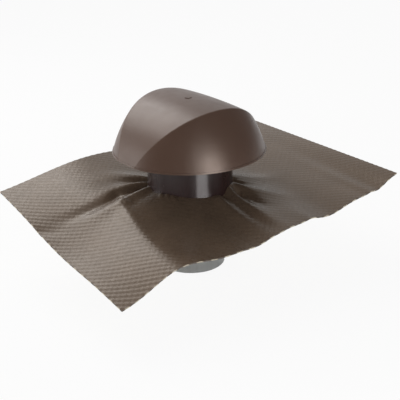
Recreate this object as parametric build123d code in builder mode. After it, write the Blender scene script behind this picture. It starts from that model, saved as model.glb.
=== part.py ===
"""Vent pipe wind cap for a pitched roof: a moulded hood on an insulated 125/160 vent pipe,
with a soft embossed flashing sheet draped round the pipe. Millimetres, Z up, origin on the
pipe's axis at its lower end, X along the flashing's long side."""
import os
from math import cos, exp, hypot, inf, radians, sin

from build123d import *

# Inner pipe
PIPE_WALL = 3.0
PIPE_CHAMFER = 1.5
PIPE_CLEAR = 0.7

# Outer collar
COLLAR_OD = 160.0
COLLAR_WALL = 3.2
COLLAR_BELOW = 40.0
COLLAR_ABOVE = 97.0
COLLAR_EDGE = 0.8

# Height of the roof line, where the flashing meets the front of the collar
ROOF_Z = 158.0

# Insulation between pipe and collar
FOAM_THICK = 13.5
FOAM_FIT = 0.1

# Hood
HOOD_TURN = 1.8
RIM_RADIUS = 142.3
RIM_HEIGHT = 69.0
RISE_SHARE = 0.696
HOOD_WALL = 2.8
ARCH_OVER_RIM = 6.5
CROWN_RADIUS = 1215.0
SKIRT_BOW = 243.0
SKIRT_LEAN = 15.2
CREASE_ROUND = 5.0
LIP_OUT = 1.0
LIP_HEIGHT = 3.0
GATE_RADIUS = 6.5
GATE_HEIGHT = 0.8

# Legs that carry the hood on the collar
LEG_COUNT = 4
LEG_THICK = 3.0
LEG_OVERHANG = 7.0
LEG_TAB = 22.0
LEG_FIT = 0.2
LEG_FOOT_GAP = 3.0

# Flashing sheet, as it hangs
SHEET_THICK = 2.0
SHEET_LONG = 602.0
SHEET_SHORT = 442.0
SHEET_SHIFT_X = 8.0
SHEET_SHIFT_Y = -10.0
BOND_GAP = 0.2
SECTION_PITCH = 11.0

# Corner heights of the sheet over the roof line
FRONT_LEFT_Z = -84.0
FRONT_RIGHT_Z = 20.5
BACK_RIGHT_Z = 11.4
BACK_LEFT_Z = -18.5

# Swells of an edge or of the sheet: place along the edge, half width, height
FRONT_RIDGE = (-172.0, 65.0, 24.0)
FRONT_TROUGH = (180.0, 100.0, -14.0)
BACK_SWELL = (-105.0, 150.0, 25.0)
LEFT_SAG = (-15.0, 110.0, -9.5)
FRONT_WAVES = (
    (-225.0, 45.0, 4.5),
    (-14.0, 32.0, -6.0),
    (148.0, 30.0, -5.5),
    (258.0, 30.0, -10.0),
)

# Rises of the sheet at the collar: place in plan, half widths, height
COLLAR_RISES = (
    (0.0, -50.0, 95.0, 80.0, 22.0),
    (-75.0, -35.0, 75.0, 70.0, 14.0),
)

# Folds, strongest at their start: start, middle and end in plan, half width, height
FOLD_STEPS = 10
FOLDS = (
    ((-52.0, 71.0), (-95.0, 112.0), (-165.0, 145.0), 15.0, 4.5),
    ((-58.0, 58.0), (-80.0, 78.0), (-125.0, 100.0), 9.0, -6.0),
    ((-66.0, 48.0), (-108.0, 70.0), (-185.0, 70.0), 11.0, 5.5),
    ((-72.0, 38.0), (-130.0, 46.0), (-230.0, 32.0), 11.0, -6.0),
    ((-78.0, 20.0), (-145.0, 20.0), (-240.0, 16.0), 13.0, 6.0),
    ((-140.0, 5.0), (-163.0, -70.0), (-215.0, -420.0), 14.0, 4.0),
    ((-292.0, 57.0), (-249.0, 31.0), (-195.0, 20.0), 14.0, -2.5),
    ((44.0, -66.0), (38.0, -125.0), (72.0, -330.0), 10.0, 5.0),
    ((52.0, -84.0), (62.0, -120.0), (90.0, -185.0), 11.0, -7.0),
    ((58.0, -60.0), (95.0, -97.0), (165.0, -165.0), 12.0, 5.0),
    ((76.0, -34.0), (90.0, -56.0), (125.0, -85.0), 8.0, -5.0),
    ((80.0, -5.0), (130.0, -36.0), (200.0, -62.0), 14.0, 4.0),
    ((20.0, -78.0), (30.0, -145.0), (36.0, -320.0), 12.0, -5.0),
    ((2.0, -90.0), (8.0, -165.0), (14.0, -300.0), 10.0, 3.0),
    ((103.0, -260.0), (103.0, -205.0), (97.0, -140.0), 14.0, 2.5),
    ((249.0, -270.0), (243.0, -86.0), (250.0, 150.0), 13.0, 3.0),
)

COLLAR_RADIUS = COLLAR_OD / 2
COLLAR_BORE = COLLAR_RADIUS - COLLAR_WALL
PIPE_RADIUS = COLLAR_BORE - FOAM_THICK - FOAM_FIT - PIPE_CLEAR
COLLAR_BOTTOM = ROOF_Z - COLLAR_BELOW
COLLAR_TOP = ROOF_Z + COLLAR_ABOVE
FOAM_TOP = COLLAR_TOP - LEG_TAB - LEG_FOOT_GAP
LEG_INNER = PIPE_RADIUS + PIPE_CLEAR
LEG_OUTER = COLLAR_RADIUS + LEG_OVERHANG
TAB_OUTER = COLLAR_BORE - LEG_FIT
LEG_START = HOOD_TURN + 180 / LEG_COUNT
RIM_Z = ROOF_Z + RIM_HEIGHT
HOOD_RISE = RIM_RADIUS * RISE_SHARE
HOOD_TOP = RIM_Z + HOOD_RISE
ARCH_RADIUS = RIM_RADIUS + ARCH_OVER_RIM
SHEET_LEFT = SHEET_SHIFT_X - SHEET_LONG / 2
SHEET_FRONT = SHEET_SHIFT_Y - SHEET_SHORT / 2

HOOD_PLANE = Plane.XZ.rotated((0, 0, HOOD_TURN))
CROWN_AXIS = Axis((0, 0, HOOD_TOP - CROWN_RADIUS), HOOD_PLANE.x_dir)
SKIRT_CENTRE = (
    RIM_RADIUS - SKIRT_BOW * cos(radians(SKIRT_LEAN)),
    RIM_Z - SKIRT_BOW * sin(radians(SKIRT_LEAN)),
)


def swell(place, bump):
    """Height of a smooth swell, given as (centre, half width, height), at a place along a line."""
    centre, half_width, height = bump
    return height * exp(-(((place - centre) / half_width) ** 2))


def ease(share):
    """A share held between 0 and 1, with soft ends."""
    held = min(max(share, 0.0), 1.0)
    return held * held * (3 - 2 * held)


def fold_line(start, middle, end):
    """Plan points along a fold: a bent line from start to end through about its middle."""
    bend = [2 * m - (a + b) / 2 for a, m, b in zip(start, middle, end)]
    shares = [number / FOLD_STEPS for number in range(FOLD_STEPS + 1)]
    return [
        tuple(a * (1 - t) ** 2 + 2 * c * t * (1 - t) + b * t**2 for a, c, b in zip(start, bend, end)) for t in shares
    ]


def fold_height(x, y, line, half_width, height):
    """Height of one fold: strongest at its start, wider and lower towards its far end."""
    nearest = inf
    for number, ((from_x, from_y), (to_x, to_y)) in enumerate(zip(line, line[1:])):
        run_x, run_y = to_x - from_x, to_y - from_y
        share = ((x - from_x) * run_x + (y - from_y) * run_y) / (run_x**2 + run_y**2)
        share = min(max(share, 0.0), 1.0)
        gap = hypot(x - from_x - share * run_x, y - from_y - share * run_y)
        if gap < nearest:
            nearest = gap
            along = (number + share) / FOLD_STEPS
    return height * ease(1 - along) * exp(-((nearest / (half_width * (1 + along))) ** 2))


FOLD_LINES = [(fold_line(start, middle, end), width, height) for start, middle, end, width, height in FOLDS]


def sheet_height(x, y):
    """Height of the flashing's middle surface at a plan point: edges blended across, then folds."""
    u = (x - SHEET_LEFT) / SHEET_LONG
    v = (y - SHEET_FRONT) / SHEET_SHORT
    front_line = FRONT_LEFT_Z * (1 - u) + FRONT_RIGHT_Z * u
    back_line = BACK_LEFT_Z * (1 - u) + BACK_RIGHT_Z * u
    drape = front_line * (1 - v) + back_line * v
    drape += (swell(x, FRONT_RIDGE) + swell(x, FRONT_TROUGH)) * (1 - v)
    drape += sum(swell(x, wave) for wave in FRONT_WAVES) * (1 - v) ** 2
    drape += swell(x, BACK_SWELL) * v
    drape += swell(y, LEFT_SAG) * (1 - u)
    for rise_x, rise_y, half_x, half_y, rise in COLLAR_RISES:
        drape += swell(x, (rise_x, half_x, 1.0)) * swell(y, (rise_y, half_y, rise))
    return ROOF_Z + drape + sum(fold_height(x, y, *fold) for fold in FOLD_LINES)


def steps(first, span):
    """Even stations from first over span, about one section pitch apart."""
    count = round(span / SECTION_PITCH)
    return [first + span * number / count for number in range(count + 1)]


def hood_form(inset):
    """The solid inside the hood's outer skin, drawn in by inset: a bowed skirt cut by a crowned vault."""
    with BuildPart() as form:
        with BuildSketch(HOOD_PLANE):
            with Locations((0, RIM_Z - max(inset, 0))):
                Rectangle(2 * RIM_RADIUS, 2 * HOOD_RISE, align=(Align.MIN, Align.MIN))
            with Locations(SKIRT_CENTRE):
                Circle(SKIRT_BOW - inset, mode=Mode.INTERSECT)
        revolve(axis=Axis.Z)
        with BuildSketch(HOOD_PLANE):
            with Locations((0, HOOD_TOP - ARCH_RADIUS)):
                Circle(ARCH_RADIUS - inset)
        revolve(axis=CROWN_AXIS, mode=Mode.INTERSECT)
        creases = form.edges().filter_by(lambda edge: edge.bounding_box().max.Z > RIM_Z + HOOD_RISE / 2)
        fillet(creases, CREASE_ROUND - inset)
    return form.part


def tube(outer_radius, inner_radius, bottom, top):
    """A plain tube on the Z axis."""
    with BuildPart() as wall:
        with BuildSketch(Plane.XY.offset(bottom)):
            Circle(outer_radius)
            Circle(inner_radius, mode=Mode.SUBTRACT)
        extrude(amount=top - bottom)
    return wall.part


def leg_blades():
    """The legs' blades, from the collar's rim up into the hood's wall."""
    with BuildPart() as blade:
        with BuildSketch(Plane.XZ):
            with Locations((LEG_INNER, COLLAR_TOP)):
                Rectangle(LEG_OUTER - LEG_INNER, HOOD_TOP - COLLAR_TOP, align=(Align.MIN, Align.MIN))
        extrude(amount=LEG_THICK / 2, both=True)
    with BuildPart() as blades:
        with PolarLocations(0, LEG_COUNT, start_angle=LEG_START):
            add(blade.part)
        add(hood_form(HOOD_WALL / 2), mode=Mode.INTERSECT)
    return blades.part


os.makedirs("parts", exist_ok=True)

# Inner pipe: the grey duct pipe that air leaves through, with a lead-in, free to slide in the foam
with BuildPart() as inner_pipe:
    add(tube(PIPE_RADIUS, PIPE_RADIUS - PIPE_WALL, 0, COLLAR_TOP))
    pipe_end = inner_pipe.edges().group_by(Axis.Z)[0].sort_by(SortBy.RADIUS)[-1]
    chamfer(pipe_end, PIPE_CHAMFER)
inner_pipe.part.label = "inner_pipe"
export_step(inner_pipe.part, "parts/inner_pipe.step")

# Insulation sleeve: foam between the pipe and the collar, short of the legs' tabs
with BuildPart() as insulation_sleeve:
    add(tube(COLLAR_BORE - FOAM_FIT, PIPE_RADIUS + PIPE_CLEAR, COLLAR_BOTTOM, FOAM_TOP))
insulation_sleeve.part.label = "insulation_sleeve"
export_step(insulation_sleeve.part, "parts/insulation_sleeve.step")

# Collar: the glossy outer tube that carries the flashing and the hood
with BuildPart() as collar:
    add(tube(COLLAR_RADIUS, COLLAR_BORE, COLLAR_BOTTOM, COLLAR_TOP))
    collar_rim = collar.edges().group_by(Axis.Z)[-1].sort_by(SortBy.RADIUS)[-1]
    chamfer(collar_rim, COLLAR_EDGE)
collar.part.label = "collar"
export_step(collar.part, "parts/collar.step")

# Hood: one moulding, a creased shell with a rim lip, a gate mark and four legs on the collar
with BuildPart() as lip:
    add(hood_form(-LIP_OUT))
    split(bisect_by=Plane.XY.offset(RIM_Z + LIP_HEIGHT), keep=Keep.BOTTOM)

with BuildPart() as hood:
    add(hood_form(0))
    add(lip.part)
    with Locations((0, 0, HOOD_TOP + GATE_HEIGHT)):
        Cylinder(GATE_RADIUS, GATE_HEIGHT + HOOD_WALL, align=(Align.CENTER, Align.CENTER, Align.MAX))
    add(hood_form(HOOD_WALL), mode=Mode.SUBTRACT)
    add(leg_blades())
    with PolarLocations((LEG_INNER + TAB_OUTER) / 2, LEG_COUNT, start_angle=LEG_START):
        with Locations((0, 0, COLLAR_TOP)):
            Box(
                TAB_OUTER - LEG_INNER,
                LEG_THICK,
                LEG_TAB,
                align=(Align.CENTER, Align.CENTER, Align.MAX),
            )
hood.part.label = "hood"
export_step(hood.part, "parts/hood.step")

# Flashing: the soft sheet, lofted through its cross-sections, draped and gathered round the collar
with BuildPart() as flashing:
    for x in steps(SHEET_LEFT, SHEET_LONG):
        outline = [(y, sheet_height(x, y)) for y in steps(SHEET_FRONT, SHEET_SHORT)]
        with BuildSketch(Plane.YZ.offset(x)):
            with BuildLine():
                under = Spline(*[(y, z - SHEET_THICK / 2) for y, z in outline])
                upper = Spline(*[(y, z + SHEET_THICK / 2) for y, z in outline])
                Line(under @ 0, upper @ 0)
                Line(under @ 1, upper @ 1)
            make_face()
    loft(ruled=True)
    with Locations((0, 0, ROOF_Z)):
        Cylinder(COLLAR_RADIUS + BOND_GAP, COLLAR_OD, mode=Mode.SUBTRACT)
flashing.part.label = "flashing"
export_step(flashing.part, "parts/flashing.step")
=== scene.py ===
"""Vent pipe wind cap: the finish of its plastic pieces, its embossed flashing sheet and the studio."""
from math import pi, radians

import bmesh
import bpy
import numpy as np
from bpy.props import FloatProperty, FloatVectorProperty, PointerProperty
from mathutils import Matrix, Vector


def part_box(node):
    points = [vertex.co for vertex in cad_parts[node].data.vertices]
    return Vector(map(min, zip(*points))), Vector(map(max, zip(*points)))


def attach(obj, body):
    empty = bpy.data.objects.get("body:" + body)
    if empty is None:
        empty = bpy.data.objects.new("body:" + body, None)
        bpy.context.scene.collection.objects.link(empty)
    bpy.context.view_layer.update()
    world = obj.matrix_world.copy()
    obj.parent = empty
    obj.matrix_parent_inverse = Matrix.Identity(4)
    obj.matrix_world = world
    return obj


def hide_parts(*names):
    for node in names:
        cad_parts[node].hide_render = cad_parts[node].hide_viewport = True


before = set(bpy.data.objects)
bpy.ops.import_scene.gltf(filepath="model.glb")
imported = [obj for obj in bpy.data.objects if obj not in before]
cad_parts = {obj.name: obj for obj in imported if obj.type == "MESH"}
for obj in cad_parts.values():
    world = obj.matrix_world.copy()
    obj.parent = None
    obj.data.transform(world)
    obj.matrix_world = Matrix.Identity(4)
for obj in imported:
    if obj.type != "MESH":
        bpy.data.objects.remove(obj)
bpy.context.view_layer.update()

bl_info = {
    "name": "Vent Pipe Wind Cap",
    "version": (1, 0, 0),
    "blender": (4, 5, 0),
    "location": "View3D > Sidebar > Wind Cap",
    "description": "Finishes a roof vent cap and drapes its embossed flashing sheet",
    "category": "Object",
}

BODY = "root"

# The collar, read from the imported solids
COLLAR_LOW, COLLAR_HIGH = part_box("collar")
COLLAR_RADIUS = (COLLAR_HIGH.x - COLLAR_LOW.x) / 2

# The flashing sheet's plan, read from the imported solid
SHEET_LOW, SHEET_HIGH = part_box("flashing")
SHEET_LONG = SHEET_HIGH.x - SHEET_LOW.x
SHEET_SHORT = SHEET_HIGH.y - SHEET_LOW.y
ROOF_Z = 0.158

# Embossing: share of its height in the main rows, and cells of the upper face's grid over one pitch
EMBOSS_LEAD = 0.76
CELLS_PER_PITCH = 6

# Corner heights of the sheet over the roof line
FRONT_LEFT_Z = -0.0840
FRONT_RIGHT_Z = 0.0205
BACK_RIGHT_Z = 0.0114
BACK_LEFT_Z = -0.0185

# Swells of the sheet's edges: place along the edge, half width, height
FRONT_RIDGE = (-0.172, 0.065, 0.024)
FRONT_TROUGH = (0.180, 0.100, -0.014)
BACK_SWELL = (-0.1050, 0.1500, 0.0250)
LEFT_SAG = (-0.0150, 0.1100, -0.0095)

# Rises at the collar, each a swell along X times a swell along Y
COLLAR_RISES = (
    ((0.0, 0.095, 1.0), (-0.050, 0.080, 0.022)),
    ((-0.075, 0.075, 1.0), (-0.035, 0.070, 0.014)),
)

# Small waves of the front edge, as swells
FRONT_WAVES = (
    (-0.2250, 0.0450, 0.0045),
    (-0.0140, 0.0320, -0.0060),
    (0.1480, 0.0300, -0.0055),
    (0.2580, 0.0300, -0.0100),
)

# Straight pieces of a fold's line, and factors on the widths and heights listed below
FOLD_STEPS = 10
FOLD_WIDTH = 0.8
FOLD_RELIEF = 1.3

# Folds, strongest at their start: start, middle and end in plan, half width, height
FOLDS = (
    ((-0.0520, 0.0710), (-0.0950, 0.1120), (-0.1650, 0.1450), 0.0150, 0.0045),
    ((-0.0580, 0.0580), (-0.0800, 0.0780), (-0.1250, 0.1000), 0.0090, -0.0060),
    ((-0.0660, 0.0480), (-0.1080, 0.0700), (-0.1850, 0.0700), 0.0110, 0.0055),
    ((-0.0720, 0.0380), (-0.1300, 0.0460), (-0.2300, 0.0320), 0.0110, -0.0060),
    ((-0.0780, 0.0200), (-0.1450, 0.0200), (-0.2400, 0.0160), 0.0130, 0.0060),
    ((-0.1400, 0.0050), (-0.1630, -0.0700), (-0.2150, -0.4200), 0.0140, 0.0040),
    ((-0.2920, 0.0570), (-0.2490, 0.0310), (-0.1950, 0.0200), 0.0140, -0.0010),
    ((0.0440, -0.0660), (0.0380, -0.1250), (0.0720, -0.3300), 0.0100, 0.0050),
    ((0.0520, -0.0840), (0.0620, -0.1200), (0.0900, -0.1850), 0.0110, -0.0070),
    ((0.0580, -0.0600), (0.0950, -0.0970), (0.1650, -0.1650), 0.0120, 0.0050),
    ((0.0760, -0.0340), (0.0900, -0.0560), (0.1250, -0.0850), 0.0080, -0.0050),
    ((0.0800, -0.0050), (0.1300, -0.0360), (0.2000, -0.0620), 0.0140, 0.0040),
    ((0.0200, -0.0780), (0.0300, -0.1450), (0.0360, -0.3200), 0.0120, -0.0050),
    ((0.0020, -0.0900), (0.0080, -0.1650), (0.0140, -0.3000), 0.0100, 0.0030),
    ((0.1030, -0.2600), (0.1030, -0.2050), (0.0970, -0.1400), 0.0140, 0.0025),
    ((0.2490, -0.2700), (0.2430, -0.0860), (0.2500, 0.1500), 0.0130, 0.0030),
    ((-0.1300, 0.0540), (-0.2050, 0.0440), (-0.3100, 0.0850), 0.0110, -0.0040),
    ((-0.0785, -0.0200), (-0.0870, -0.0400), (-0.0930, -0.0700), 0.0045, 0.0020),
    ((-0.0740, -0.0330), (-0.0800, -0.0520), (-0.0830, -0.0800), 0.0045, 0.0018),
    ((-0.0690, -0.0440), (-0.0720, -0.0630), (-0.0730, -0.0900), 0.0045, 0.0016),
)

# Mesh: an angle beyond all others, the search for the hole's rim in collar radii, the edges that stay sharp
PAST_TURN = 10.0
RIM_REACH = 1.5
SHARP_EDGE = radians(50)

# Scale of the cut edge's wave texture for a pitch of one metre, with a tooth over two pitches
EDGE_BANDS = 0.314

# Studio: the floor's half width and its share of white glow, the backdrop's soft edge, and the camera
FLOOR_HALF = 20.0
FLOOR_GLOW = 0.92
BACKDROP_EDGE = (0.3, 0.9)
SENSOR_WIDTH = 36.0
CLIP_END = 50.0

# Lamps: place, point they face, size, radiance; the strip shows in gloss only
SOFTBOXES = {
    "back_softbox": ((-0.14, 1.42, 1.42), (-0.1, 0.0, 0.2), (1.1, 0.8), 3.9),
    "left_softbox": ((-1.2, 0.95, 0.48), (0.0, 0.0, 0.25), (1.0, 0.7), 2.0),
    "front_softbox": ((-0.4, -1.7, 0.9), (0.0, 0.0, 0.2), (1.0, 0.8), 2.6),
}
GLOSS_STRIP = ((-0.05, -0.62, 0.24), (0.0, 0.0, 0.24), (0.3, 0.42), 8.0)


def swell(place, bump):
    """Heights of a smooth swell, given as (centre, half width, height), at places along a line."""
    centre, half_width, height = bump
    return height * np.exp(-(((place - centre) / half_width) ** 2))


def ease(share):
    """Shares held between 0 and 1, with soft ends."""
    held = np.clip(share, 0.0, 1.0)
    return held * held * (3 - 2 * held)


def fold_line(start, middle, end):
    """Plan points along a fold: a bent line from start to end through about its middle."""
    start, middle, end = np.array(start), np.array(middle), np.array(end)
    bend = 2 * middle - (start + end) / 2
    share = np.linspace(0.0, 1.0, FOLD_STEPS + 1)[:, None]
    return start * (1 - share) ** 2 + 2 * bend * share * (1 - share) + end * share**2


def fold_height(x, y, line, half_width, height):
    """Heights of one fold: strongest at its start, wider and lower towards its far end."""
    nearest = np.full_like(x, np.inf)
    along = np.zeros_like(x)
    for number, (first, second) in enumerate(zip(line, line[1:])):
        run = second - first
        share = np.clip(((x - first[0]) * run[0] + (y - first[1]) * run[1]) / (run @ run), 0.0, 1.0)
        gap = np.hypot(x - first[0] - share * run[0], y - first[1] - share * run[1])
        closer = gap < nearest
        nearest = np.where(closer, gap, nearest)
        along = np.where(closer, (number + share) / FOLD_STEPS, along)
    return height * ease(1 - along) * np.exp(-((nearest / (half_width * (1 + along))) ** 2))


def drape_height(x, y):
    """Heights of the flashing's middle surface: edges blended across, then the folds."""
    u = (x - SHEET_LOW.x) / SHEET_LONG
    v = (y - SHEET_LOW.y) / SHEET_SHORT
    front_line = FRONT_LEFT_Z * (1 - u) + FRONT_RIGHT_Z * u
    back_line = BACK_LEFT_Z * (1 - u) + BACK_RIGHT_Z * u
    drape = front_line * (1 - v) + back_line * v
    drape = drape + (swell(x, FRONT_RIDGE) + swell(x, FRONT_TROUGH)) * (1 - v)
    drape = drape + sum(swell(x, wave) for wave in FRONT_WAVES) * (1 - v) ** 2
    drape = drape + swell(x, BACK_SWELL) * v
    drape = drape + swell(y, LEFT_SAG) * (1 - u)
    drape = drape + sum(swell(x, across) * swell(y, along) for across, along in COLLAR_RISES)
    for start, middle, end, half_width, height in FOLDS:
        line = fold_line(start, middle, end)
        drape = drape + fold_height(x, y, line, half_width * FOLD_WIDTH, height * FOLD_RELIEF)
    return ROOF_Z + drape


def emboss_height(x, y, props):
    """Heights of the diamond embossing: two sets of rows at 45 degrees to the edges, one of them taller."""
    turn = 2 * pi / props.emboss_pitch
    main_rows = np.cos(turn * (x + y)) * EMBOSS_LEAD
    cross_rows = np.cos(turn * (x - y)) * (1 - EMBOSS_LEAD)
    return props.emboss_depth / 2 * (main_rows + cross_rows)


class Grid:
    """One face of the sheet: a grid of points with a round hole for the collar."""

    def __init__(self, columns, rows, hole_radius):
        xs = np.linspace(SHEET_LOW.x, SHEET_HIGH.x, columns + 1)
        ys = np.linspace(SHEET_LOW.y, SHEET_HIGH.y, rows + 1)
        self.columns = columns
        self.rows = rows
        self.x, self.y = np.meshgrid(xs, ys, indexing="ij")
        radius = np.hypot(self.x, self.y)
        inside = radius < hole_radius
        self.open = inside[:-1, :-1] & inside[1:, :-1] & inside[1:, 1:] & inside[:-1, 1:]
        grow = np.where(inside, hole_radius / np.maximum(radius, 1e-6), 1.0)
        self.x = self.x * grow
        self.y = self.y * grow

    def index(self, column, row):
        return column * (self.rows + 1) + row

    def quads(self):
        """The grid's cells outside the hole, each as four point numbers."""
        column, row = np.nonzero(~self.open)
        corners = [(0, 0), (1, 0), (1, 1), (0, 1)]
        return np.stack([self.index(column + a, row + b) for a, b in corners], axis=1)

    def hole_ring(self):
        """The points round the hole, in order of their angle."""
        faces = self.quads()
        edges = np.concatenate([faces[:, [k, (k + 1) % 4]] for k in range(4)])
        edges.sort(axis=1)
        pairs, counts = np.unique(edges, axis=0, return_counts=True)
        rim = np.unique(pairs[counts == 1])
        x, y = self.x.ravel()[rim], self.y.ravel()[rim]
        near = np.hypot(x, y) < COLLAR_RADIUS * RIM_REACH
        rim, angle = rim[near], np.arctan2(y[near], x[near])
        return rim[np.argsort(angle)], np.sort(angle)

    def outline(self):
        """The points along the grid's four outer edges, counter-clockwise seen from above."""
        front = [self.index(c, 0) for c in range(self.columns)]
        right = [self.index(self.columns, r) for r in range(self.rows)]
        back = [self.index(c, self.rows) for c in range(self.columns, 0, -1)]
        left = [self.index(0, r) for r in range(self.rows, 0, -1)]
        return front + right + back + left


def stitch_rings(upper, upper_angle, under, under_angle):
    """Triangles between two rings of points that go round the same hole."""
    faces = []
    i = j = 0
    while i < len(upper) or j < len(under):
        next_upper = upper_angle[i + 1] if i + 1 < len(upper) else PAST_TURN
        next_under = under_angle[j + 1] if j + 1 < len(under) else PAST_TURN
        a, b = upper[i % len(upper)], under[j % len(under)]
        if i < len(upper) and (next_upper <= next_under or j >= len(under)):
            i += 1
            faces.append((a, upper[i % len(upper)], b))
        else:
            j += 1
            faces.append((a, under[j % len(under)], b))
    return faces


def build_sheet(props):
    """The flashing's mesh: an embossed upper face, a plainer underside and the cut edge between them."""
    hole = COLLAR_RADIUS + props.bond_gap
    cell = props.emboss_pitch / CELLS_PER_PITCH
    columns = 2 * round(SHEET_LONG / cell / 2)
    rows = 2 * round(SHEET_SHORT / cell / 2)
    top = Grid(columns, rows, hole)
    base = Grid(columns // 2, rows // 2, hole)
    top_z = drape_height(top.x, top.y) + props.thickness / 2 + emboss_height(top.x, top.y, props)
    base_z = drape_height(base.x, base.y) - props.thickness / 2 + emboss_height(base.x, base.y, props)
    top_points = np.stack([top.x, top.y, top_z], axis=-1).reshape(-1, 3)
    base_points = np.stack([base.x, base.y, base_z], axis=-1).reshape(-1, 3)
    shift = len(top_points)
    upper_faces = top.quads().tolist()
    under_faces = (base.quads()[:, ::-1] + shift).tolist()
    upper_edge = top.outline()
    under_edge = [number + shift for number in base.outline()]
    edge_faces = []
    for k, number in enumerate(under_edge):
        following = under_edge[(k + 1) % len(under_edge)]
        a, b, c = (upper_edge[(2 * k + n) % len(upper_edge)] for n in range(3))
        edge_faces.append((number, following, c, b, a))
    upper_ring, upper_angle = top.hole_ring()
    under_ring, under_angle = base.hole_ring()
    hole_faces = stitch_rings(upper_ring.tolist(), upper_angle, (under_ring + shift).tolist(), under_angle)
    mesh = bpy.data.meshes.new("flashing_sheet")
    points = np.concatenate([top_points, base_points])
    mesh.from_pydata(points.tolist(), [], upper_faces + under_faces + edge_faces + hole_faces)
    finish = [0] * len(upper_faces) + [1] * len(under_faces) + [2] * len(edge_faces) + [0] * len(hole_faces)
    mesh.polygons.foreach_set("material_index", finish)
    mesh.polygons.foreach_set("use_smooth", [True] * len(finish))
    mesh.validate()
    remove_loose_points(mesh)
    mesh.set_sharp_from_angle(angle=SHARP_EDGE)
    return mesh


def remove_loose_points(mesh):
    """Takes out the grid points that fell inside the collar's hole."""
    work = bmesh.new()
    work.from_mesh(mesh)
    loose = [point for point in work.verts if not point.link_faces]
    bmesh.ops.delete(work, geom=loose, context="VERTS")
    work.to_mesh(mesh)
    work.free()


class Finish:
    """A material under construction: its nodes, links and main shader."""

    def __init__(self, name):
        self.material = bpy.data.materials.new(name)
        self.material.use_nodes = True
        self.nodes = self.material.node_tree.nodes
        self.links = self.material.node_tree.links
        self.shader = self.nodes["Principled BSDF"]
        self.place = self.add("ShaderNodeTexCoord").outputs["Object"]

    def add(self, kind, **settings):
        node = self.nodes.new(kind)
        for name, value in settings.items():
            setattr(node, name, value)
        return node

    def noise(self, scale, detail=3.0, stretch=(1.0, 1.0, 1.0)):
        """Values of a noise over the object, with the pattern stretched along the axes."""
        mapping = self.add("ShaderNodeMapping")
        mapping.inputs["Scale"].default_value = stretch
        self.links.new(self.place, mapping.inputs["Vector"])
        noise = self.add("ShaderNodeTexNoise")
        noise.inputs["Scale"].default_value = scale
        noise.inputs["Detail"].default_value = detail
        self.links.new(mapping.outputs["Vector"], noise.inputs["Vector"])
        return noise.outputs["Fac"]

    def spread(self, value, low, high, from_low=0.3, from_high=0.7):
        """A value between low and high, following a noise."""
        ramp = self.add("ShaderNodeMapRange")
        ramp.inputs["From Min"].default_value = from_low
        ramp.inputs["From Max"].default_value = from_high
        ramp.inputs["To Min"].default_value = low
        ramp.inputs["To Max"].default_value = high
        self.links.new(value, ramp.inputs["Value"])
        return ramp.outputs["Result"]

    def colours(self, value, first, second):
        """The shader's colour, between two colours by a value."""
        mix = self.add("ShaderNodeMix", data_type="RGBA")
        mix.inputs["A"].default_value = (*first, 1.0)
        mix.inputs["B"].default_value = (*second, 1.0)
        self.links.new(value, mix.inputs["Factor"])
        self.links.new(mix.outputs["Result"], self.shader.inputs["Base Color"])

    def roughness(self, value):
        self.links.new(value, self.shader.inputs["Roughness"])

    def bump(self, value, height, strength=1.0):
        bump = self.add("ShaderNodeBump")
        bump.inputs["Strength"].default_value = strength
        bump.inputs["Distance"].default_value = height
        self.links.new(value, bump.inputs["Height"])
        self.links.new(bump.outputs["Normal"], self.shader.inputs["Normal"])


def shade(colour, factor):
    """A colour made lighter or darker."""
    return tuple(part * factor for part in colour)


def hood_finish(props):
    """Satin moulded plastic with a fine spark-eroded grain."""
    finish = Finish("hood_satin_plastic")
    cloud = finish.spread(finish.noise(9.0), 0.0, 1.0)
    finish.colours(cloud, shade(props.hood_colour, 0.94), shade(props.hood_colour, 1.06))
    finish.roughness(finish.spread(finish.noise(60.0), 0.33, 0.39))
    finish.shader.inputs["Specular IOR Level"].default_value = 0.42
    finish.shader.inputs["Specular Tint"].default_value = (1.0, 0.90, 0.82, 1.0)
    finish.bump(finish.noise(2200.0, detail=1.0), 0.00004, 0.6)
    return finish.material


def collar_finish(props):
    """Glossy extruded pipe, with faint lines along its length."""
    finish = Finish("collar_gloss_plastic")
    lines = finish.noise(140.0, stretch=(1.0, 1.0, 0.03))
    streaks = finish.spread(lines, 0.0, 1.0)
    finish.colours(streaks, shade(props.collar_colour, 0.9), shade(props.collar_colour, 1.1))
    finish.roughness(finish.spread(finish.noise(35.0), 0.24, 0.28))
    finish.shader.inputs["Anisotropic"].default_value = 0.89
    finish.shader.inputs["Anisotropic Rotation"].default_value = 0.25
    around = finish.add("ShaderNodeTangent", direction_type="RADIAL", axis="Z")
    finish.links.new(around.outputs["Tangent"], finish.shader.inputs["Tangent"])
    return finish.material


def pipe_finish(props):
    """Plain grey pipe with drawn lines and a little dulling."""
    finish = Finish("pipe_grey_plastic")
    lines = finish.noise(120.0, stretch=(1.0, 1.0, 0.02))
    streaks = finish.spread(lines, 0.0, 1.0)
    finish.colours(streaks, shade(props.pipe_colour, 0.95), shade(props.pipe_colour, 1.04))
    finish.roughness(finish.spread(finish.noise(40.0), 0.38, 0.5))
    finish.bump(lines, 0.00004, 0.5)
    return finish.material


def foam_finish(props):
    """Cut face of rigid insulation foam, with small open cells."""
    finish = Finish("cream_insulation_foam")
    cells = finish.noise(700.0, detail=2.0)
    cloud = finish.spread(cells, 0.0, 1.0)
    finish.colours(cloud, shade(props.foam_colour, 0.85), shade(props.foam_colour, 1.05))
    finish.roughness(finish.spread(cells, 0.8, 0.95))
    finish.bump(cells, 0.0004, 0.8)
    return finish.material


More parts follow.
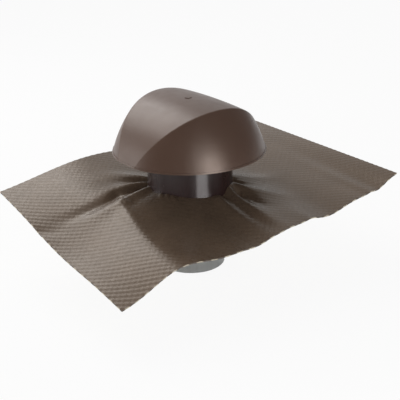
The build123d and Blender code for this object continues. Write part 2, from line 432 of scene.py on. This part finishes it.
def sheet_finish(props):
    """Semi-gloss brown flashing with a fine grain between its embossed diamonds."""
    finish = Finish("flashing_brown_sheet")
    cloud = finish.spread(finish.noise(14.0), 0.0, 1.0)
    finish.colours(cloud, shade(props.sheet_colour, 0.9), shade(props.sheet_colour, 1.1))
    finish.roughness(finish.spread(finish.noise(90.0), 0.24, 0.32))
    finish.shader.inputs["Specular IOR Level"].default_value = 0.33
    finish.shader.inputs["Specular Tint"].default_value = (1.0, 0.85, 0.69, 1.0)
    finish.bump(finish.noise(1500.0, detail=2.0), 0.00005, 0.6)
    return finish.material


def backing_finish(props):
    """Pale backing film under the flashing."""
    finish = Finish("flashing_pale_backing")
    cloud = finish.spread(finish.noise(30.0), 0.0, 1.0)
    finish.colours(cloud, shade(props.backing_colour, 0.92), props.backing_colour)
    finish.roughness(finish.spread(finish.noise(200.0), 0.5, 0.65))
    finish.bump(finish.noise(900.0, detail=2.0), 0.00006, 0.6)
    return finish.material


def cut_edge_finish(props):
    """The sheet's cut edge, where the backing shows between the embossed diamonds."""
    finish = Finish("flashing_cut_edge")
    wave = finish.add("ShaderNodeTexWave", wave_type="BANDS", bands_direction="DIAGONAL")
    wave.inputs["Scale"].default_value = EDGE_BANDS / props.emboss_pitch
    finish.links.new(finish.place, wave.inputs["Vector"])
    teeth = finish.spread(wave.outputs["Fac"], 0.0, 1.0, 0.45, 0.7)
    finish.colours(teeth, shade(props.sheet_colour, 0.8), props.backing_colour)
    finish.roughness(finish.spread(finish.noise(300.0), 0.55, 0.7))
    return finish.material


def assign(node, material):
    """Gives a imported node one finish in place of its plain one."""
    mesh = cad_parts[node].data
    mesh.materials.clear()
    mesh.materials.append(material)


class WindCapFinishProps(bpy.types.PropertyGroup):
    """Colours of the plastic pieces."""

    hood_colour: FloatVectorProperty(
        name="Hood", description="Brown of the moulded hood", subtype="COLOR", default=(0.108, 0.060, 0.042)
    )
    collar_colour: FloatVectorProperty(
        name="Collar", description="Dark brown of the glossy collar",
        subtype="COLOR", default=(0.038, 0.018, 0.017),
    )
    pipe_colour: FloatVectorProperty(
        name="Pipe", description="Grey of the duct pipe", subtype="COLOR", default=(0.48, 0.50, 0.51)
    )
    foam_colour: FloatVectorProperty(
        name="Foam", description="Cream of the insulation", subtype="COLOR", default=(0.62, 0.53, 0.32)
    )


class WindCapSheetProps(bpy.types.PropertyGroup):
    """Sizes and colours of the flashing sheet."""

    thickness: FloatProperty(
        name="Thickness", description="Thickness of the sheet", unit="LENGTH", default=0.002
    )
    bond_gap: FloatProperty(
        name="Bond gap", description="Gap between the collar and the sheet", unit="LENGTH", default=0.0002
    )
    emboss_pitch: FloatProperty(
        name="Emboss pitch", description="Distance between diamonds along an edge",
        unit="LENGTH", default=0.0132,
    )
    emboss_depth: FloatProperty(
        name="Emboss depth", description="Height of the diamonds", unit="LENGTH", default=0.0005
    )
    flat_long: FloatProperty(
        name="Cut length", description="Length of the sheet before it was draped",
        unit="LENGTH", default=0.621,
    )
    flat_short: FloatProperty(
        name="Cut width", description="Width of the sheet before it was draped", unit="LENGTH", default=0.453
    )
    sheet_colour: FloatVectorProperty(
        name="Sheet", description="Brown of the upper face", subtype="COLOR", default=(0.122, 0.084, 0.058)
    )
    backing_colour: FloatVectorProperty(
        name="Backing", description="Pale film under the sheet", subtype="COLOR", default=(0.66, 0.58, 0.44)
    )


class WindCapStageProps(bpy.types.PropertyGroup):
    """The camera, the lamps and the floor."""

    view_turn: FloatProperty(
        name="View turn", description="Camera's turn about the pipe", subtype="ANGLE", default=radians(-34.3)
    )
    view_tilt: FloatProperty(
        name="View tilt", description="Camera's height over the horizon",
        subtype="ANGLE", default=radians(21.7),
    )
    view_roll: FloatProperty(
        name="View roll", description="Camera's roll", subtype="ANGLE", default=radians(-1.22)
    )
    view_distance: FloatProperty(
        name="View distance", description="Camera to its target", unit="LENGTH", default=2.08387
    )
    view_target: FloatVectorProperty(
        name="View target", description="Point the camera looks at", subtype="TRANSLATION",
        default=(0.01464, -0.00994, 0.1236),
    )
    lens: FloatProperty(
        name="Lens", description="Focal length in millimetres", default=99.0
    )
    floor_colour: FloatVectorProperty(
        name="Floor", description="Pale studio floor", subtype="COLOR", default=(0.86, 0.86, 0.86)
    )
    sky_light: FloatProperty(
        name="Sky light", description="Strength of the even light from all round", default=0.22
    )
    backdrop_light: FloatProperty(
        name="Backdrop light", description="Strength of the light from the backdrop's side", default=1.0
    )
    backdrop_side: FloatVectorProperty(
        name="Backdrop side", description="Direction of the bright backdrop", subtype="DIRECTION",
        default=(-0.09, 0.86, 0.50),
    )


class WINDCAP_OT_plastics(bpy.types.Operator):
    """Finish the hood, the collar, the pipe and the insulation"""

    bl_idname = "windcap.plastics"
    bl_label = "Finish Plastic Pieces"

    def execute(self, context):
        props = context.scene.windcap_finish
        assign("hood", hood_finish(props))
        assign("collar", collar_finish(props))
        assign("inner_pipe", pipe_finish(props))
        assign("insulation_sleeve", foam_finish(props))
        return {"FINISHED"}


class WINDCAP_OT_flashing(bpy.types.Operator):
    """Drape the embossed flashing sheet round the collar"""

    bl_idname = "windcap.flashing"
    bl_label = "Drape Flashing Sheet"

    def execute(self, context):
        props = context.scene.windcap_sheet
        sheet = bpy.data.objects.new("flashing_sheet", build_sheet(props))
        context.scene.collection.objects.link(sheet)
        sheet.data.materials.append(sheet_finish(props))
        sheet.data.materials.append(backing_finish(props))
        sheet.data.materials.append(cut_edge_finish(props))
        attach(sheet, BODY)
        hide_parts("flashing")
        return {"FINISHED"}


def add_lamp(name, place, aim, size, radiance):
    """A rectangular soft lamp that faces a point and doesn't show itself to the camera."""
    lamp = bpy.data.lights.new(name, "AREA")
    lamp.shape = "RECTANGLE"
    lamp.size, lamp.size_y = size
    lamp.energy = radiance * pi * size[0] * size[1]
    lamp_object = bpy.data.objects.new(name, lamp)
    lamp_object.location = place
    lamp_object.rotation_euler = (Vector(aim) - Vector(place)).to_track_quat("-Z", "Y").to_euler()
    lamp_object.visible_camera = False
    bpy.context.scene.collection.objects.link(lamp_object)
    return lamp_object


def seen_directly(nodes, links):
    """A socket that is 1 for rays that show the background itself: camera, gloss and glass."""
    path = nodes.new("ShaderNodeLightPath")
    total = None
    for name in ("Is Camera Ray", "Is Glossy Ray", "Is Transmission Ray"):
        if total is None:
            total = path.outputs[name]
            continue
        add = nodes.new("ShaderNodeMath")
        add.operation = "MAXIMUM"
        links.new(total, add.inputs[0])
        links.new(path.outputs[name], add.inputs[1])
        total = add.outputs[0]
    return total


def studio_world(props):
    """An even surround that is brighter towards the backdrop."""
    world = bpy.data.worlds.new("studio")
    world.use_nodes = True
    nodes, links = world.node_tree.nodes, world.node_tree.links
    place = nodes.new("ShaderNodeTexCoord")
    towards = nodes.new("ShaderNodeVectorMath")
    towards.operation = "DOT_PRODUCT"
    towards.inputs[1].default_value = Vector(props.backdrop_side).normalized()
    links.new(place.outputs["Generated"], towards.inputs[0])
    ramp = nodes.new("ShaderNodeMapRange")
    ramp.interpolation_type = "SMOOTHSTEP"
    ramp.inputs["From Min"].default_value, ramp.inputs["From Max"].default_value = BACKDROP_EDGE
    ramp.inputs["To Min"].default_value = props.sky_light
    ramp.inputs["To Max"].default_value = props.backdrop_light
    links.new(towards.outputs["Value"], ramp.inputs["Value"])
    even = nodes["Background"]
    even.inputs["Color"].default_value = (1.0, 1.0, 1.0, 1.0)
    links.new(ramp.outputs["Result"], even.inputs["Strength"])
    return world


def floor_finish(props):
    """Pale floor that reads as white paper and keeps a soft shadow."""
    material = bpy.data.materials.new("studio_floor")
    material.use_nodes = True
    nodes, links = material.node_tree.nodes, material.node_tree.links
    nodes.clear()
    paper = nodes.new("ShaderNodeBsdfDiffuse")
    paper.inputs["Color"].default_value = (*props.floor_colour, 1.0)
    glow = nodes.new("ShaderNodeEmission")
    glow.inputs["Strength"].default_value = 1.0
    share = nodes.new("ShaderNodeMath")
    share.operation = "MULTIPLY"
    share.inputs[1].default_value = FLOOR_GLOW
    links.new(seen_directly(nodes, links), share.inputs[0])
    mix = nodes.new("ShaderNodeMixShader")
    out = nodes.new("ShaderNodeOutputMaterial")
    links.new(share.outputs[0], mix.inputs["Fac"])
    links.new(paper.outputs[0], mix.inputs[1])
    links.new(glow.outputs[0], mix.inputs[2])
    links.new(mix.outputs[0], out.inputs["Surface"])
    return material


def add_floor(props):
    """A wide flat floor under the pipe's lower end."""
    mesh = bpy.data.meshes.new("studio_floor")
    corners = [(x * FLOOR_HALF, y * FLOOR_HALF, 0) for x, y in ((-1, -1), (1, -1), (1, 1), (-1, 1))]
    mesh.from_pydata(corners, [], [(0, 1, 2, 3)])
    floor = bpy.data.objects.new("studio_floor", mesh)
    mesh.materials.append(floor_finish(props))
    bpy.context.scene.collection.objects.link(floor)


def add_camera(props):
    """The camera, at the photograph's angle."""
    camera = bpy.data.cameras.new("camera")
    camera.lens = props.lens
    camera.sensor_width = SENSOR_WIDTH
    camera.clip_end = CLIP_END
    holder = bpy.data.objects.new("camera", camera)
    turn = Matrix.Rotation(props.view_turn, 4, "Z") @ Matrix.Rotation(pi / 2 - props.view_tilt, 4, "X")
    back = Matrix.Translation((0.0, 0.0, props.view_distance))
    roll = Matrix.Rotation(props.view_roll, 4, "Z")
    holder.matrix_world = Matrix.Translation(props.view_target) @ turn @ back @ roll
    bpy.context.scene.collection.objects.link(holder)
    bpy.context.scene.camera = holder


class WINDCAP_OT_stage(bpy.types.Operator):
    """Set up the floor, the soft lamps and the camera"""

    bl_idname = "windcap.stage"
    bl_label = "Set Up Studio"

    def execute(self, context):
        props = context.scene.windcap_stage
        context.scene.view_settings.view_transform = "Standard"
        context.scene.world = studio_world(props)
        add_floor(props)
        for name, lamp in SOFTBOXES.items():
            add_lamp(name, *lamp)
        strip = add_lamp("front_strip", *GLOSS_STRIP)
        strip.visible_diffuse = False
        add_camera(props)
        return {"FINISHED"}


class WINDCAP_PT_panel(bpy.types.Panel):
    """Lists the steps that finish the wind cap"""

    bl_label = "Wind Cap"
    bl_idname = "WINDCAP_PT_panel"
    bl_space_type = "VIEW_3D"
    bl_region_type = "UI"
    bl_category = "Wind Cap"

    def draw(self, context):
        for operator in OPERATORS:
            self.layout.operator(operator.bl_idname)
        for group in (context.scene.windcap_finish, context.scene.windcap_sheet, context.scene.windcap_stage):
            column = self.layout.column()
            for name in group.__annotations__:
                column.prop(group, name)


PROPERTY_GROUPS = (WindCapFinishProps, WindCapSheetProps, WindCapStageProps)
OPERATORS = (WINDCAP_OT_plastics, WINDCAP_OT_flashing, WINDCAP_OT_stage)
CLASSES = (*PROPERTY_GROUPS, *OPERATORS, WINDCAP_PT_panel)


def register():
    for item in CLASSES:
        bpy.utils.register_class(item)
    bpy.types.Scene.windcap_finish = PointerProperty(type=WindCapFinishProps)
    bpy.types.Scene.windcap_sheet = PointerProperty(type=WindCapSheetProps)
    bpy.types.Scene.windcap_stage = PointerProperty(type=WindCapStageProps)


def unregister():
    del bpy.types.Scene.windcap_stage
    del bpy.types.Scene.windcap_sheet
    del bpy.types.Scene.windcap_finish
    for item in reversed(CLASSES):
        bpy.utils.unregister_class(item)


def main():
    register()
    bpy.ops.windcap.plastics()
    bpy.ops.windcap.flashing()
    bpy.ops.windcap.stage()


if __name__ == "__main__":
    main()
